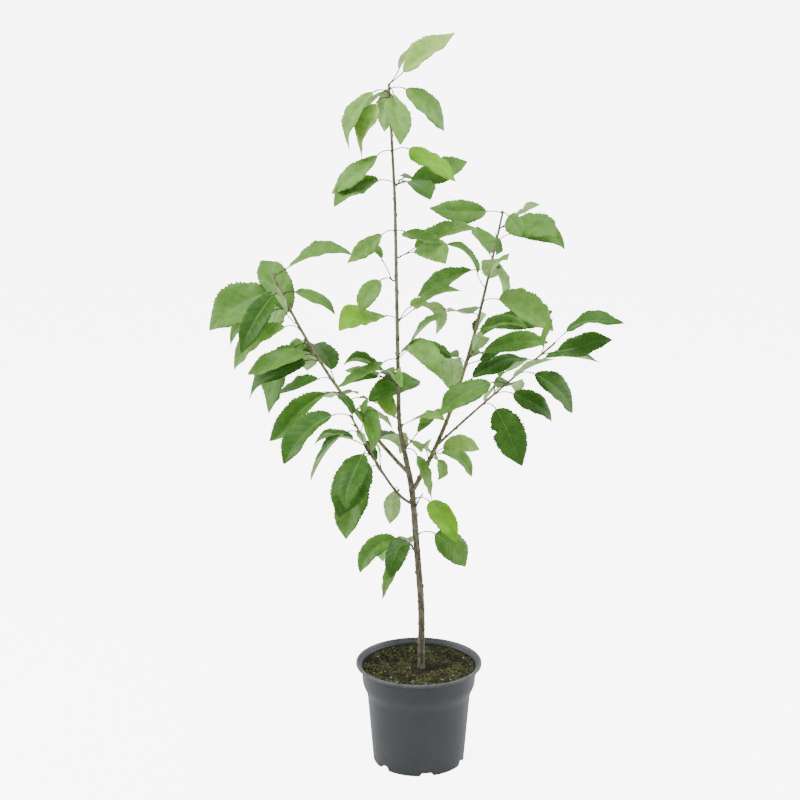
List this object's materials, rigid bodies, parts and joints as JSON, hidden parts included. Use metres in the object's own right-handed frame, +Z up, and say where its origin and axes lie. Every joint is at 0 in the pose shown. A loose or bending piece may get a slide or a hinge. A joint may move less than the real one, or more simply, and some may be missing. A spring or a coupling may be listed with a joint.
{
  "type": "potted sweet cherry tree",
  "caption": "Young cherry tree in a round grower's pot: slim leaning trunk, low boughs that rise to both sides, and long drooping serrated leaves on thin stalks.",
  "frame": {"origin": "centre of the pot's flat underside, where it stands on the floor", "axes": "+Z up along the trunk, -Y towards the viewer of the reference picture, +X to that viewer's right"},
  "size_m": [0.6832, 0.3786, 1.2619],
  "materials": {
    "pot_plastic": "matt slate grey moulded plastic with a faint sheen",
    "mossy_soil": "moist compost with moss, pale grit and a bare dark dip round the trunk",
    "trunk_bark": "grey-brown young bark with pale cross marks and bud scars",
    "bough_bark": "smooth olive-brown bark with small buds",
    "leaf_green": "green leaves, darker and slightly glossy above, pale and matt below"
  },
  "bodies": {
    "root": {"pot": "pot_plastic", "soil": "mossy_soil", "trunk": "trunk_bark", "bough_left": "bough_bark", "bough_left_low": "bough_bark", "bough_right": "bough_bark", "bough_right_side": "bough_bark", "stub_twig": "bough_bark", "leaves_top": "leaf_green", "leaves_left": "leaf_green", "leaves_left_low": "leaf_green", "leaves_right": "leaf_green", "leaves_right_side": "leaf_green", "leaves_spur_01": "leaf_green", "leaves_spur_02": "leaf_green", "leaves_spur_03": "leaf_green", "leaves_spur_04": "leaf_green", "leaves_spur_05": "leaf_green", "leaves_spur_06": "leaf_green", "leaves_spur_07": "leaf_green", "leaves_spur_08": "leaf_green", "leaves_spur_09": "leaf_green", "leaves_spur_10": "leaf_green", "leaves_spur_11": "leaf_green", "leaves_spur_12": "leaf_green", "leaves_spur_13": "leaf_green", "leaves_low_knob": "leaf_green", "leaves_fork": "leaf_green"}
  },
  "joints": []
}
